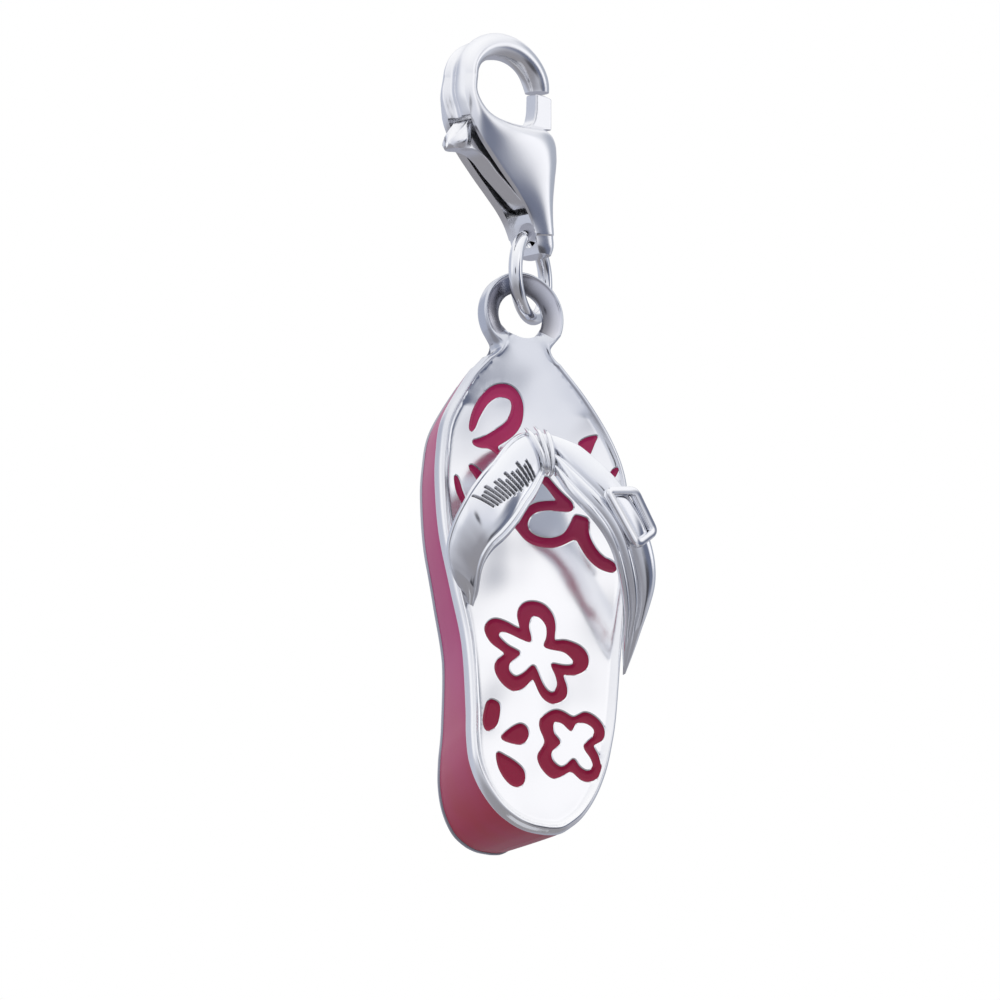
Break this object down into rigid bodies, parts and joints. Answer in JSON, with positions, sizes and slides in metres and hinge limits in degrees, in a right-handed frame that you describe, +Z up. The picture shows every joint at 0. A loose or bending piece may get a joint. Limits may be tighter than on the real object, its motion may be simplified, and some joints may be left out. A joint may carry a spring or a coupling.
{
  "type": "flip-flop charm",
  "caption": "Silver flip-flop pendant with pink enamel sides and crimson enamel flowers, hung by a jump ring from a trigger clasp.",
  "frame": {"origin": "inner top of the clasp's hook, where the bracelet or chain carries the charm", "axes": "+Z up, the footbed and the strap face -Y, +X to the right of somebody who looks at the footbed"},
  "size_m": [0.0097, 0.0076, 0.0375],
  "materials": {
    "silver": "mirror-polished sterling silver",
    "side_enamel": "fired pink enamel, glossy",
    "flower_enamel": "fired crimson enamel, glossy"
  },
  "bodies": {
    "clasp": {"clasp_body": "silver", "lever_pin": "silver"},
    "lever": {"clasp_lever": "silver"},
    "link": {"jump_ring": "silver"},
    "charm": {"charm_casting": "silver", "side_enamel": "side_enamel", "enamel_five_petal_flower": "flower_enamel", "enamel_four_petal_flower": "flower_enamel", "enamel_petal_upper": "flower_enamel", "enamel_petal_middle": "flower_enamel", "enamel_petal_lower": "flower_enamel", "enamel_toe_petal": "flower_enamel", "enamel_toe_leaf_left": "flower_enamel", "enamel_toe_curl_left": "flower_enamel", "enamel_toe_leaf_right": "flower_enamel", "enamel_toe_bud_right": "flower_enamel", "enamel_toe_scroll": "flower_enamel"}
  },
  "joints": [
    {"name": "lever_hinge", "type": "hinge", "parent": "clasp", "child": "lever", "pos_m": [0.00181, 0.00059, -0.0063], "axis": [0.309, -0.9511, 0], "range_deg": [0, 18], "stiffness_Nm_per_rad": 0.002},
    {"name": "ring_swing", "type": "hinge", "parent": "clasp", "child": "link", "pos_m": [0.00181, 0.00059, -0.008], "axis": [0.7193, 0.6947, 0], "range_deg": [-25, 25]},
    {"name": "charm_swing", "type": "hinge", "parent": "link", "child": "charm", "pos_m": [0.00181, 0.00059, -0.01174], "axis": [0.7193, 0.6947, 0], "range_deg": [-15, 15]}
  ]
}
